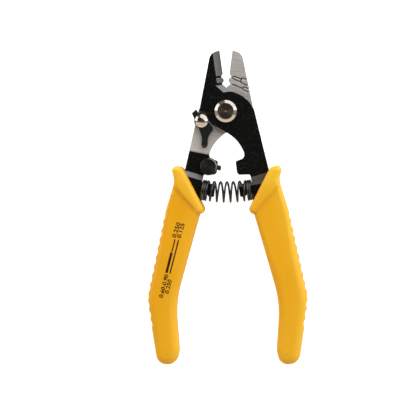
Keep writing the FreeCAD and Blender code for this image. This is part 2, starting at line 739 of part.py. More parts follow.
def make_stop():
    x, y = -size("boss_x"), -size("boss_y")
    axis_z = lever_seat + size("stop_z")
    boss = new_body("stop_boss_body")
    centre = ("-dims.boss_x", "-dims.boss_y")
    disc = circle(boss, "boss_disc", centre, "dims.boss_r")
    disc.AttachmentOffset = FreeCAD.Placement(FreeCAD.Vector(0, 0, lever_seat), FreeCAD.Rotation())
    head = pad(boss, "boss_head", disc, "dims.boss_h")
    chamfer(boss, "boss_rim", head, "dims.boss_edge", face_edges(head, (lever_seat + size("boss_h"),)))
    stem = circle(boss, "boss_stem", centre, "dims.boss_stem_r")
    stem.AttachmentOffset = FreeCAD.Placement(FreeCAD.Vector(0, 0, rear_back), FreeCAD.Rotation())
    pad(boss, "boss_rivet", stem, "dims.plate + dims.blade_gap")
    cross = circle(boss, "boss_cross", ("-dims.boss_y", "%.6f" % axis_z), "dims.stop_screw_r + dims.fit / 2",
                   plane="YZ_Plane")
    pocket(boss, "boss_thread", cross)
    place(boss, "stop_boss", side=-1, height="0")

    # The screw runs along the closed tool's X axis: socket outside, nose facing the bump.
    screw = new_body("stop_screw_body")
    tail = x - size("boss_r") + size("screw_sunk")
    shank = x + size("boss_r") - size("nose_base")
    travel = size("boss_y") * math.tan(math.radians(size("stop_travel")))
    nose = size("bump_x") - travel - size("blade_gap")
    shape = circle(screw, "screw_thread", ("-dims.boss_y", "%.6f" % axis_z), "dims.stop_screw_r",
                   plane="YZ_Plane", shift=(0, 0, tail))
    pad(screw, "screw_shank", shape, "%.6f mm" % (shank - tail))
    point = circle(screw, "screw_nose", ("-dims.boss_y", "%.6f" % axis_z), "dims.stop_nose_r",
                   plane="YZ_Plane", shift=(0, 0, shank - 0.01))
    pad(screw, "screw_point", point, "%.6f mm" % (nose - shank + 0.01))
    across = size("socket_af") / math.sqrt(3)
    hexagon = [(a + y, b + axis_z, 0) for a, b in (polar(across, 60 * i) for i in range(6))]
    socket = outline(screw, "screw_socket_plan", hexagon, plane="YZ_Plane", shift=(0, 0, tail))
    pocket(screw, "screw_socket", socket, "dims.socket_depth")
    place(screw, "stop_screw", side=-1, height="0")


make_stop()


# Return spring: an arched coil over both tabs, with closed turns at each end.

def make_spring():
    half = math.radians(size("half_open"))
    seat_x = size("seat_x") * math.cos(half) + size("spring_y") * math.sin(half)
    seat_y = size("seat_x") * math.sin(half) - size("spring_y") * math.cos(half)
    bend = seat_x / math.sin(half)
    centre_y = seat_y + bend * math.cos(half)
    length = 2 * bend * half - 2 * (size("wire_r") + size("seat_gap"))
    turns = size("coils")
    closed = size("end_coils")
    pitch = size("end_pitch")
    open_pitch = (length - 2 * closed * pitch) / (turns - 2 * closed)

    def wound(turn):
        if turn < closed:
            return turn * pitch
        if turn > turns - closed:
            return length - (turns - turn) * pitch
        return closed * pitch + (turn - closed) * open_pitch

    def along(turn):
        # Averaged over one turn, so that the pitch opens and closes smoothly.
        steps = 20
        return sum(wound(turn + step / steps - 0.5) for step in range(steps + 1)) / (steps + 1)

    def point(turn):
        angle = (along(turn) - length / 2) / bend
        phase = 2 * math.pi * (turn - turns / 2) + math.radians(size("coil_start"))
        reach = bend + size("coil_r") * math.cos(phase)
        z = size("grip_half") + size("coil_r") * math.sin(phase)
        return FreeCAD.Vector(reach * math.sin(angle), centre_y - reach * math.cos(angle), z)

    # Five arcs to a turn.
    count = int(round(turns * 5))
    arcs = []
    for i in range(count):
        first, last = turns * i / count, turns * (i + 1) / count
        arcs.append(Part.Arc(point(first), point((first + last) / 2), point(last)).toShape())
    path = Part.Wire(arcs)
    start = arcs[0]
    heading = start.tangentAt(start.FirstParameter)
    across = heading.cross(FreeCAD.Vector(0, 0, 1)).normalize()
    upward = across.cross(heading)
    sides = int(size("wire_sides"))
    rim = []
    for i in range(sides + 1):
        out, up = polar(size("wire_r"), 360 * (i + 0.5) / sides)
        rim.append(point(0) + across * out + upward * up)
    ring = Part.makePolygon(rim)
    spring = doc.addObject("Part::Feature", "return_spring_coil")
    spring.Shape = path.makePipeShell([ring], True, True, 0)
    spring.Label = "return_spring"
    parts.append(spring)


make_spring()

doc.recompute()
for item in doc.Objects:
    if "Invalid" in item.State or "Error" in item.State:
        raise RuntimeError("%s failed" % item.Label)
for part in parts:
    if part.Shape.isNull() or not part.Shape.isValid():
        raise RuntimeError("%s is not a valid solid" % part.Label)
for part in parts:
    part.Shape.exportStep("parts/%s.step" % part.Label)
    print(part.Label, len(part.Shape.Solids), round(part.Shape.Volume, 2))
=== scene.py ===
import math

import bpy
from mathutils import Matrix, Vector


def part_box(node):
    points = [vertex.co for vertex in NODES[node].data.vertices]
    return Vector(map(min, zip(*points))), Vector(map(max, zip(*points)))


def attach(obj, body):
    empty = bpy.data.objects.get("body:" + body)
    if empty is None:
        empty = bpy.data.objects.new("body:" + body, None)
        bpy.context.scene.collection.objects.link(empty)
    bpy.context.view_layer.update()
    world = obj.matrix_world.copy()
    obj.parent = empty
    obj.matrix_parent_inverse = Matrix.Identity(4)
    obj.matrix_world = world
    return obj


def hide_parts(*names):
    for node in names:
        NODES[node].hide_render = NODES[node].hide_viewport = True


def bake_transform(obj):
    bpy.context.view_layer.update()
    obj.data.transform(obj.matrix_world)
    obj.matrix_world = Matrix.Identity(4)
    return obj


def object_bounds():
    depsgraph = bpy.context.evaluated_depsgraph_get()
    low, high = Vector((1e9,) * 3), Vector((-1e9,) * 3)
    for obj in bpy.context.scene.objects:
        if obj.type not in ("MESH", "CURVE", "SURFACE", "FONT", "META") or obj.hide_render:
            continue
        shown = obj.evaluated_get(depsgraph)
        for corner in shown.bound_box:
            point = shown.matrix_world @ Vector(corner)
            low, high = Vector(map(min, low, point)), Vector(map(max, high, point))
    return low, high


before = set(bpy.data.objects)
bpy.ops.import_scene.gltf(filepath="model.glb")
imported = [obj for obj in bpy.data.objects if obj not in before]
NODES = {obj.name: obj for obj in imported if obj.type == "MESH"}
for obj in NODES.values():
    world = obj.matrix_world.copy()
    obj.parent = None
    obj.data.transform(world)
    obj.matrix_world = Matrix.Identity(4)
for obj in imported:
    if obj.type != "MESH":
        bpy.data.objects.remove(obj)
CAD_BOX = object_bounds()

# Fibre stripper: two black stamped blades on a polished pivot bolt, yellow moulded grips, a return spring
# between the arms, a lock lever and a closing stop. Metres, lying on its back: +X right, +Y towards the jaws.
# A name that ends in _MM holds millimetres, and one that ends in _PX pixels of the square picture frame.

bl_info = {
    "name": "Fibre stripper",
    "version": (1, 0, 0),
    "blender": (4, 5, 0),
    "location": "View3D > Sidebar > Stripper",
    "description": "Finishes, markings and studio of a fibre stripper",
    "category": "Object",
}

MM = 0.001
HALF_OPEN = math.radians(7.5)  # each arm's angle from the closed line

# Places that come from the frame.
PIVOT_LOW, PIVOT_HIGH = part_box("pivot_bolt")
BOSS_LOW, BOSS_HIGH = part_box("stop_boss")
GRIP_TOP_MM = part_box("left_grip")[1].z / MM
MATING_MM = GRIP_TOP_MM / 2  # height of the plane in which the blades meet
PLATE_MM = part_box("front_blade")[1].z / MM - MATING_MM
HEAD_TOP_MM = PIVOT_HIGH.z / MM
DISH_RADIUS_MM = (PIVOT_HIGH.x - PIVOT_LOW.x) / MM / 2 - 1.35  # the pivot's head less its chamfer
BOSS_TOP_MM = BOSS_HIGH.z / MM
BOSS_RADIUS_MM = (BOSS_HIGH.y - BOSS_LOW.y) / MM / 2

# Places on a blade, measured from the pivot along and across the closed line.
BLADE_GAP_MM = 0.05
FACE_BLUR_MM = 0.01
NOTCHES_MM = (16.5, 13.05)  # heights of the two stripping notches
GROOVE_MM = 0.95  # width of the groove across the bevel at each notch
GROOVE_LIP_MM = 0.16
JAW_BACK_MM = 3.42  # how far back the bevels reach
BEVEL_FOOT_MM = 8.7  # height of the foot of the throat's bevel
GROUND_END_MM = 21.96  # pivot down to where the grinding stops, on the centre line
GROUND_SLANT = 0.0667  # how the end of the grinding slants across the arm
RUN_OUT_MM = 0.55  # width of the lighter line where the wheel ran out
JOGGLE_MM = 33.2  # pivot down to the middle of the joggle
BEND_ABOVE_MM = 2.6
BEND_BELOW_MM = 3.2
SCREW_MM = (27.1, -0.5)  # pivot down to the stop screw, and across to where its thread leaves the boss
SEAT_MM = (7.4, -38.6)  # the return spring's seat

# Round wires: the return spring, and the thread over the stop screw's nose.
TURN_STEPS = 24  # points per turn
CLOSED_TURNS = 2.5  # closed turns at each end of the spring
CLOSED_PITCH_MM = 0.97
SEAT_CLEAR_MM = 0.1  # from the wire to its seat
SPRING_SWELL_MM = 0.3  # how much the coil swells and hangs in its middle
THREAD_TURNS = 2.5
THREAD_PITCH_MM = 0.42
THREAD_REACH_MM = 1.08  # from the screw's axis to the middle of the thread
THREAD_RADIUS_MM = 0.22

# Places on a grip, measured in the same way. A line is its normal's X and Y and its offset.
CREASE_MM = (-0.649, 0.761, 43.1)  # crease between the guard collar and the neck
INNER_EDGE_MM = (0.825, -0.566, -30.6)  # inner edge of the guard collar
COLLAR_TIP_MM = -35.5
UPPER_RUN_MM = (-0.115, 8.9)  # the middle line down to the palm swell: its slope and its place at the pivot
LOWER_RUN_MM = (0.21, 39.1)  # the middle line below it
PIN_MM = (13.1, -117.9)  # mark of the ejector pin
# Painted highlight on the guard collars, strongest on the left one.
COLLAR_HIGHLIGHT = {-1: 0.75, 1: 0.25}  # how much paler the left and the right guard collar are
GRIP_PALE = {-1: 0.0, 1: 0.14}  # the same of the whole left and right grip

# The camera's view: a square frame, and the pivot's place in it.
FRAME_PX = 416
PX_MM = 0.475  # millimetres per pixel at the tool
AXIS_PX = (225.85, 111.4)
AXIS_TOP_MM = 9.0  # height at which the pivot's axis shows there
LEAN_X = math.radians(5.0)
LEAN_Y = math.radians(2.0)
ROLL = 0.0079
CAMERA_DISTANCE = 1.6  # metres
SENSOR_MM = 36.0

# Outlines etched beside the two notches: each line's points.
ETCHED_PX = [
    [(242.2, 80.0), (234.6, 76.9), (233.0, 77.0), (232.6, 78.2), (233.4, 79.4), (240.6, 82.2)],
    [(246.2, 80.2), (242.6, 78.5), (241.6, 79.2), (240.4, 81.8), (241.4, 83.5), (247.4, 85.8)],
    [(232.2, 84.7), (242.4, 88.8)],
    [(248.0, 89.2), (244.4, 87.5), (243.2, 87.8), (242.3, 88.8), (243.6, 90.4), (248.6, 92.5)],
]
LINE_LIFT_MM = 0.006  # from the ground face to the middle of an etched line
LINE_FLATNESS = 0.07  # thickness of an etched line over its width

# Figures printed up along the left grip: the text, and the foot and the far end of its base line.
FIGURES_PX = [
    ("0.250", (175.6, 237.2), (180.3, 222.4)),
    ("0.125", (180.4, 237.6), (184.7, 223.4)),
    ("0.60-0.90", (162.6, 297.0), (168.6, 274.0)),
    ("0.250", (168.4, 293.0), (171.9, 279.2)),
]

# Bars printed between them: both ends, and the width in millimetres.
BARS_PX = [
    ((175.1, 238.4), (171.9, 251.0), 0.58),
    ((171.7, 251.6), (166.6, 271.8), 1.15),
    ((178.6, 239.3), (170.1, 272.6), 0.62),
]
PRINT_FROM_MM = GRIP_TOP_MM + 0.5  # height from which the print is laid on the grip
PRINT_FACE_MM = GRIP_TOP_MM - 0.3  # height of the grip's face under it
INK_LIFT_MM = 0.01
INK_THICK_MM = 0.015
STRIKE_MM = 0.085  # how far each of a figure's two strikes lies off its place

# Three soft panels round the tool, open above it where the camera looks down. Their straight edges are what
# the domed rivet and the pivot's chamfer mirror. Name, azimuth and polar angle in degrees, size in metres,
# radiance and colour.
PANELS = [
    ("key panel", 55, 59, (2.0, 1.2), 2.3, "#FFFFFF"),
    ("left panel", 154, 72, (0.68, 0.63), 2.9, "#FFFAF0"),
    ("low panel", 266, 54, (4.2, 1.45), 0.66, "#F6E4D2"),
]
FLOOR_SIZE = 6.0  # metres
PAPER_GLOW = 0.9  # what the floor adds to the camera's view, to show white
ROOM_LOW = 0.36  # the room's light near the floor
ROOM_OVERHEAD = 0.06


def linear(hex_colour):
    """A colour written as sRGB hex, as linear red, green and blue."""
    channels = [int(hex_colour[i:i + 2], 16) / 255 for i in (1, 3, 5)]
    return tuple(c / 12.92 if c <= 0.04045 else ((c + 0.055) / 1.055) ** 2.4 for c in channels)


def colour_of(name, text, default):
    return bpy.props.FloatVectorProperty(name=name, description=text, subtype="COLOR", size=3, min=0, max=1,
                                         default=linear(default))


def length_of(name, text, default_mm):
    return bpy.props.FloatProperty(name=name, description=text, unit="LENGTH", precision=5,
                                   default=default_mm * MM)


class StripperColours(bpy.types.PropertyGroup):
    grip: colour_of("Grip", "Moulded vinyl of the grips", "#F5AD0B")
    grip_cloud: colour_of("Grip cloud", "Where the vinyl is a shade brighter", "#F9B311")
    # Painted highlight: this colour stands in for light on the guard collars and on the right side of each
    # grip.
    guard: colour_of("Guard", "Painted highlight on the guard collars and the grips' lit side", "#FFC932")
    pin_mark: colour_of("Pin mark", "Ejector pin's mark near the end of a grip", "#C67F0B")
    oxide: colour_of("Black oxide", "Chemically blackened steel", "#060606")
    oxide_speck: colour_of("Oxide speck", "Grains that the blackening leaves lighter", "#4A4846")
    small_oxide: colour_of("Small parts", "What lightens the black of the small parts", "#2B2D2F")
    # Painted highlight on the lever's top edges.
    lever_edge_highlight: colour_of("Lever edge", "Edges of the lever, rubbed bright", "#B4BCC2")
    lever_tail: colour_of("Lever tail", "End of the lever's tail, thumbed brown", "#5E4F47")
    # Painted highlight on the joggle's bends, lighter on the rear blade.
    front_bend_highlight: colour_of("Front joggle", "Bends of the front blade's joggle, rubbed lighter", "#626364")
    rear_bend_highlight: colour_of("Rear joggle", "Bends of the rear blade's joggle, rubbed lighter", "#7F8486")
    ground: colour_of("Ground steel", "Surface-ground faces of the blades", "#DEDCD7")
    run_out: colour_of("Run-out", "Line where the grinding wheel ran out", "#CFCBC5")
    bevel: colour_of("Ground bevel", "Bevels behind the cutting edges", "#63615F")
    throat: colour_of("Ground throat", "Bevel down the throat", "#7B7E83")
    groove: colour_of("Groove", "Inside of the grooves across the bevel", "#151413")
    # Painted highlight on the groove lips.
    groove_lip_highlight: colour_of("Groove lip", "Bright lips of those grooves", "#8E8C89")
    polished: colour_of("Polished steel", "Lever rivet", "#F0E7DD")
    polished_cloud: colour_of("Polish cloud", "Where the polish is duller", "#E2D9CE")
    # Painted shade on the rivet's upper side, which dims its reflection.
    polished_upper_dimmed: colour_of("Polish, upper side", "Upper side of the lever rivet", "#A19A90")
    chamfer: colour_of("Chamfer", "Polished chamfer of the pivot head", "#DAD0C5")
    # Painted shade: the chamfer's upper half is painted darker to dim its reflection.
    chamfer_upper_dimmed: colour_of("Chamfer, upper half", "Its upper half, painted darker to dim its reflection", "#9E9890")
    turned: colour_of("Turned dish", "Dark turned face of the pivot head", "#5C554F")
    # Painted highlight at the middle of the pivot's dish.
    dish_centre_highlight: colour_of("Turning centre", "Bright point in the middle of the dish", "#D8D0C6")
    boss: colour_of("Boss", "Turned face of the stop boss", "#161616")
    boss_ring: colour_of("Boss rings", "Lighter turning marks on it", "#2C2B2A")
    # Painted highlight on the boss's corner, to the upper right.
    boss_rim_highlight: colour_of("Boss rim", "Corner of the boss, rubbed bright", "#C3C6C5")
    # Painted shade on the side of the boss.
    boss_side_shade: colour_of("Boss side", "Side of the boss", "#070707")
    wire: colour_of("Spring wire", "Blackened music wire", "#1B1B1C")
    wire_streak: colour_of("Wire streak", "Streaks along the wire", "#2B2A2A")
    plain: colour_of("Plain steel", "Washers and nut on the back", "#9A9894")
    plain_cloud: colour_of("Plain steel cloud", "Where they are brighter", "#B3B0AB")
    ink: colour_of("Printing ink", "Pad-printed scale on the grip", "#2C130A")
    etch: colour_of("Etched line", "Laser-etched line on the ground face", "#1F1814")
    paper: colour_of("Studio paper", "Floor under the tool", "#F4F4F4")


class StripperSizes(bpy.types.PropertyGroup):
    wire_radius: length_of("Wire radius", "Radius of the return spring's wire", 0.48)
    coil_radius: length_of("Coil radius", "Return spring radius to the middle of the wire", 4.5)
    coil_turns: bpy.props.IntProperty(name="Turns", description="Turns of the return spring", default=11,
                                      min=6)
    etch_width: length_of("Etched line width", "Width of the etched lines on the blade", 0.52)
    ink_height: length_of("Figure size", "Size of the printed figures", 2.6)


def colours():
    return bpy.context.scene.stripper_colours


def sizes():
    return bpy.context.scene.stripper_sizes


# Nodes

def feed(tree, socket, value):
    """Give an input a number, a colour or the socket that feeds it."""
    if isinstance(value, bpy.types.NodeSocket):
        tree.links.new(value, socket)
    elif socket.type == "RGBA":
        socket.default_value = (*value, 1.0)
    else:
        socket.default_value = value


def dress(tree, node, inputs):
    """Feed the inputs of a node by their names."""
    for name, value in inputs.items():
        feed(tree, node.inputs[name], value)


def add(tree, kind, *values, inputs=None, **settings):
    """Add a shader node and return its first live output.

    values feed its live inputs in their order, inputs feeds some by name, and the rest are its settings.
    """
    made = tree.nodes.new("ShaderNode" + kind)
    for name, value in settings.items():
        setattr(made, name, value)
    live = [socket for socket in made.inputs if socket.enabled]
    for socket, value in zip(live, values):
        feed(tree, socket, value)
    dress(tree, made, inputs or {})
    return next(socket for socket in made.outputs if socket.enabled)


def new_material(name):
    """A material, its node tree and its principled shader."""
    material = bpy.data.materials.new(name)
    material.use_nodes = True
    return material, material.node_tree, material.node_tree.nodes["Principled BSDF"]


# Fields: values that change over a piece, in its own millimetres

def place_of(tree, turn=0.0):
    """Object coordinates in millimetres, turned about Z, and their X, Y and Z."""
    place = add(tree, "TexCoord").node.outputs["Object"]
    place = add(tree, "Mapping", place, inputs={"Rotation": (0, 0, turn), "Scale": (1 / MM, 1 / MM, 1 / MM)})
    return (place, *add(tree, "SeparateXYZ", place).node.outputs)


def beyond(tree, value, edge, blur=0.02):
    """1 where a value is over an edge and 0 below it, with a soft step."""
    return add(tree, "MapRange", value, edge - blur, edge + blur)


def below(tree, value, edge, blur=0.02):
    """1 where a value is under an edge and 0 over it, with a soft step."""
    return add(tree, "MapRange", value, edge + blur, edge - blur)


def all_of(tree, *fields):
    """A mask that is 1 where each of some masks is 1."""
    mask = fields[0]
    for field in fields[1:]:
        mask = add(tree, "Math", mask, field, operation="MULTIPLY")
    return mask


def round_place(tree, x, y, centre):
    """Distance from a centre, and the X and Y offsets from it."""
    dx = add(tree, "Math", x, centre[0], operation="SUBTRACT")
    dy = add(tree, "Math", y, centre[1], operation="SUBTRACT")
    squares = add(tree, "Math", dy, dy, operation="MULTIPLY")
    squares = add(tree, "Math", dx, dx, squares, operation="MULTIPLY_ADD")
    return add(tree, "Math", squares, operation="SQRT"), dx, dy


def past_line(tree, x, y, line):
    """Distance past a line, which is its normal's X and Y and its offset."""
    across = add(tree, "Math", x, line[0], line[2], operation="MULTIPLY_ADD")
    return add(tree, "Math", y, line[1], across, operation="MULTIPLY_ADD")


def wedges(tree, x, y, turn, low, high):
    """Painted reflection: fine turning throws the light back in two opposite wedges, painted as a tone from
    low to high round the middle.
    """
    angle = add(tree, "Math", y, x, operation="ARCTAN2")
    twice = add(tree, "Math", angle, 2.0, turn, operation="MULTIPLY_ADD")
    return add(tree, "MapRange", add(tree, "Math", twice, operation="SINE"), -0.2, 1.0, low, high)


def turning_marks(tree, radius, pitch_mm):
    """Waves of rings round a turned face, drawn coarser than the lathe leaves them so that they show."""
    phase = add(tree, "Math", radius, 2 * math.pi / pitch_mm, operation="MULTIPLY")
    return add(tree, "Math", phase, operation="SINE")


# Materials

def oxide_colour(tree, place):
    """Black oxide keeps a few lighter grains, about 0.3 mm, where the bath bit less."""
    paint = colours()
    grain = add(tree, "TexNoise", place, 1.7, 2.0, 0.6)
    share = add(tree, "MapRange", grain, 0.6, 0.78)
    return add(tree, "Mix", share, paint.oxide, paint.oxide_speck, data_type="RGBA"), grain


def black_oxide(highlight_from=None):
    """Blackened steel of the small parts: a shade lighter than the blades, with a fine grain.

    highlight_from is given for the lever. It is the corner from which the top edges are painted bright, to
    the right and upwards, as a painted highlight, and the end of the tail is tinted brown.
    """
    material, tree, shader = new_material("Black oxide steel")
    paint = colours()
    place, x, y, z = place_of(tree)
    colour, grain = oxide_colour(tree, place)
    colour = add(tree, "Mix", 0.35, colour, paint.small_oxide, data_type="RGBA")
    if highlight_from:
        corner = highlight_from / MM
        # Painted highlight along the lever's top edges, to the upper right.
        painted = all_of(tree, beyond(tree, z, corner.z - 0.3), below(tree, z, corner.z - 0.02, 0.01),
                        beyond(tree, x, corner.x, 0.4), beyond(tree, y, corner.y, 0.3))
        colour = add(tree, "Mix", painted, colour, paint.lever_edge_highlight, data_type="RGBA")
        # The end of the tail is browner.
        tail_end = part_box("lock_lever")[0].y / MM
        tinted = add(tree, "MapRange", y, tail_end + 1.7, tail_end + 0.2, 0.0, 0.6)
        colour = add(tree, "Mix", tinted, colour, paint.lever_tail, data_type="RGBA")
    relief = add(tree, "Bump", inputs={"Height": grain, "Strength": 0.12, "Distance": 0.05 * MM})
    dress(tree, shader, {"Base Color": colour, "Roughness": 0.3, "Normal": relief})
    return material


def ground_colour(tree, place, y, run_out):
    """Surface-ground steel and its relief.

    The wheel leaves lines across the blade, here about 0.7 mm apart so that they show, and a lighter line
    where it ran out. Below the pivot the lines are fainter, and the steel is painted lighter there as painted
    light.
    """
    paint = colours()
    wide = add(tree, "VectorMath", place, (0.06, 1.4, 1.0), operation="MULTIPLY")
    narrow = add(tree, "VectorMath", place, (0.3, 9.0, 1.0), operation="MULTIPLY")
    lines = add(tree, "Math", add(tree, "TexNoise", wide, 1.0, 3.0, 0.55), 0.5, operation="SUBTRACT")
    lines = add(tree, "Math", lines, add(tree, "MapRange", y, -8.0, 8.0, 0.4, 1.0), operation="MULTIPLY")
    # Painted light: the steel is painted lighter below the pivot.
    lighter = add(tree, "MapRange", y, -18.0, -8.0, 1.32, 1.02)
    tone = add(tree, "MapRange", lines, -0.14, 0.14, 0.8, 1.1)
    tone = add(tree, "Math", tone, lighter, operation="MULTIPLY")
    silver = add(tree, "VectorMath", paint.ground, tone, operation="MULTIPLY")
    fine = add(tree, "TexNoise", narrow, 1.0, 2.0, 0.6)
    return (add(tree, "Mix", run_out, silver, paint.run_out, data_type="RGBA"),
            add(tree, "Math", lines, fine, operation="ADD"))


def bevel_colour(tree, place, y, above):
    """Bevels are ground along the edge, so their lines run the other way, and painted shade darkens them
    towards it.

    The grooves across them at the notches are black inside, with a painted highlight along their lips.
    """
    paint = colours()
    along = add(tree, "VectorMath", place, (7.0, 0.25, 1.0), operation="MULTIPLY")
    lines = add(tree, "MapRange", add(tree, "TexNoise", along, 1.0, 2.0, 0.6), 0.3, 0.7, 0.85, 1.1)
    # Painted shade, darker towards the edge.
    painted_shade = add(tree, "MapRange", above, 0.1, PLATE_MM, 0.75, 1.25)
    tone = add(tree, "Math", lines, painted_shade, operation="MULTIPLY")
    colour = add(tree, "VectorMath", paint.bevel, tone, operation="MULTIPLY")
    in_throat = below(tree, y, NOTCHES_MM[1], 0.05)
    colour = add(tree, "Mix", in_throat, colour, paint.throat, data_type="RGBA")
    for notch in NOTCHES_MM:
        off = add(tree, "Math", add(tree, "Math", y, notch, operation="SUBTRACT"), operation="ABSOLUTE")
        past_lip = beyond(tree, off, GROOVE_MM / 2 + GROOVE_LIP_MM, 0.06)
        past_groove = beyond(tree, off, GROOVE_MM / 2, 0.06)
        # Painted highlight along each groove's lips.
        colour = add(tree, "Mix", past_lip, paint.groove_lip_highlight, colour, data_type="RGBA")
        colour = add(tree, "Mix", past_groove, paint.groove, colour, data_type="RGBA")
    return colour


def blade_steel(name, turn, side, bend_highlight):
    """A stamped blade: black all over, then ground bright on its mating face and its bevels.

    turn brings the blade back to the closed line, and side is +1 for the front blade and -1 for the rear one.
    """
    material, tree, shader = new_material(name)
    place, x, y, z = place_of(tree, turn)
    x = add(tree, "Math", x, side, operation="MULTIPLY")
    above = add(tree, "Math", z, MATING_MM, operation="SUBTRACT")
    above = add(tree, "Math", above, side, operation="MULTIPLY")
    on_mating = below(tree, above, 0.08, FACE_BLUR_MM)
    off_faces = all_of(tree, beyond(tree, above, 0.08, FACE_BLUR_MM),
                       below(tree, above, PLATE_MM - 0.012, 0.006))
    out = add(tree, "Math", x, operation="ABSOLUTE")
    line = add(tree, "Math", out, -GROUND_SLANT, y, operation="MULTIPLY_ADD")
    ground = all_of(tree, on_mating, beyond(tree, line, -GROUND_END_MM, 0.06))
    run_out = all_of(tree, ground, below(tree, line, RUN_OUT_MM - GROUND_END_MM, 0.1))
    bevel = all_of(tree, off_faces, beyond(tree, x, -JAW_BACK_MM, FACE_BLUR_MM),
                   beyond(tree, y, BEVEL_FOOT_MM, FACE_BLUR_MM))
    bright = add(tree, "Math", ground, bevel, operation="ADD", use_clamp=True)

    black, grain = oxide_colour(tree, place)
    # The joggle's bends are painted lighter, a painted highlight where their slopes catch the light, the rear
    # blade's most. The rear blade's slope lies past the mating plane.
    past_mating = all_of(tree, beyond(tree, above, 0.06 - PLATE_MM / 2), below(tree, above, -0.05))
    on_bends = add(tree, "Math", off_faces, past_mating, operation="MAXIMUM")
    painted = all_of(tree, beyond(tree, y, -JOGGLE_MM - BEND_BELOW_MM),
                    below(tree, y, BEND_ABOVE_MM - JOGGLE_MM), on_bends)
    black = add(tree, "Mix", painted, black, bend_highlight, data_type="RGBA")
    silver, grinding = ground_colour(tree, place, y, run_out)
    colour = add(tree, "Mix", ground, black, silver, data_type="RGBA")
    colour = add(tree, "Mix", bevel, colour, bevel_colour(tree, place, y, above), data_type="RGBA")
    relief = add(tree, "Bump", inputs={"Height": add(tree, "Mix", bright, grain, grinding), "Strength": 0.1,
                                       "Distance": 0.04 * MM})
    dress(tree, shader, {"Base Color": colour, "Specular IOR Level": 0.22, "Normal": relief,
                         "Metallic": add(tree, "Math", bright, 0.7, operation="MULTIPLY"),
                         "Roughness": add(tree, "MapRange", bright, 0.0, 1.0, 0.36, 0.46)})
    return material


def pivot_steel():
    """Bright polished head with a dark turned dish inside its chamfer. Its upper half is painted darker to
    dim its reflection, and the dish has painted wedges of reflection and a painted highlight at its centre.
    """
    material, tree, shader = new_material("Polished pivot steel")
    paint = colours()
    place, x, y, z = place_of(tree)
    radius = round_place(tree, x, y, (0.0, 0.0))[0]
    dish = all_of(tree, below(tree, radius, DISH_RADIUS_MM, 0.04), beyond(tree, z, HEAD_TOP_MM - 0.8, 0.1))
    rings = turning_marks(tree, radius, 0.9)
    patchy = add(tree, "Math", rings, add(tree, "TexNoise", place, 0.8, 2.0), operation="MULTIPLY")
    tone = add(tree, "MapRange", patchy, -0.5, 0.5, 0.5, 1.7)
    # Painted reflection of the turning, in two wedges.
    tone = add(tree, "Math", tone, wedges(tree, x, y, 1.9, 0.8, 1.45), operation="MULTIPLY")
    turned = add(tree, "VectorMath", paint.turned, tone, operation="MULTIPLY")
    # Painted highlight at the middle of the dish.
    centre = below(tree, radius, 0.36, 0.12)
    turned = add(tree, "Mix", centre, turned, paint.dish_centre_highlight, data_type="RGBA")
    # Painted shade on the chamfer's upper half, which dims its reflection.
    upper = beyond(tree, add(tree, "Math", y, radius, operation="DIVIDE"), 0.25, 0.2)
    chamfer = add(tree, "Mix", upper, paint.chamfer, paint.chamfer_upper_dimmed, data_type="RGBA")
    colour = add(tree, "Mix", dish, chamfer, turned, data_type="RGBA")
    in_dish = add(tree, "Math", rings, dish, operation="MULTIPLY")
    relief = add(tree, "Bump", inputs={"Height": in_dish, "Strength": 0.15, "Distance": 0.05 * MM})
    dress(tree, shader, {"Base Color": colour, "Metallic": 1.0, "Normal": relief,
                         "Roughness": add(tree, "MapRange", dish, 0.0, 1.0, 0.15, 0.4)})
    return material


def turned_black(centre):
    """Blackened turned steel: faint rings round its middle, painted wedges of reflection on its face, a
    painted highlight along its corner to the upper right, and a side painted darker as shade.
    """
    material, tree, shader = new_material("Turned black steel")
    paint = colours()
    x, y, z = place_of(tree)[1:]
    radius, dx, dy = round_place(tree, x, y, centre.xy / MM)
    rings = turning_marks(tree, radius, 1.1)
    share = add(tree, "MapRange", rings, -1.0, 1.0)
    face = add(tree, "Mix", share, paint.boss, paint.boss_ring, data_type="RGBA")
    # Painted reflection of the turning, in two wedges.
    face = add(tree, "VectorMath", face, wedges(tree, dx, dy, 2.4, 0.9, 1.9), operation="MULTIPLY")
    past_rim = beyond(tree, radius, BOSS_RADIUS_MM - 0.22, 0.05)
    # Painted shade: the boss's side is painted darker than its face, and duller.
    shaded_side = add(tree, "Math", past_rim, below(tree, z, BOSS_TOP_MM - 0.4), operation="MAXIMUM")
    on_face = add(tree, "Math", 1.0, shaded_side, operation="SUBTRACT")
    upper_right = beyond(tree, past_line(tree, dx, dy, (0.88, 0.47, 0.0)), 2.4, 1.2)
    # Painted highlight along the boss's corner to the upper right.
    rim = all_of(tree, beyond(tree, radius, BOSS_RADIUS_MM - 0.5, 0.05), on_face, upper_right)
    colour = add(tree, "Mix", shaded_side, face, paint.boss_side_shade, data_type="RGBA")
    colour = add(tree, "Mix", rim, colour, paint.boss_rim_highlight, data_type="RGBA")
    metallic = add(tree, "Math", on_face, 0.4, operation="MULTIPLY")
    shine = add(tree, "Math", on_face, 0.4, 0.1, operation="MULTIPLY_ADD")
    relief = add(tree, "Bump", inputs={"Height": rings, "Strength": 0.1, "Distance": 0.05 * MM})
    dress(tree, shader, {"Base Color": colour, "Metallic": metallic, "Roughness": 0.3,
                         "Specular IOR Level": shine, "Normal": relief})
    return material


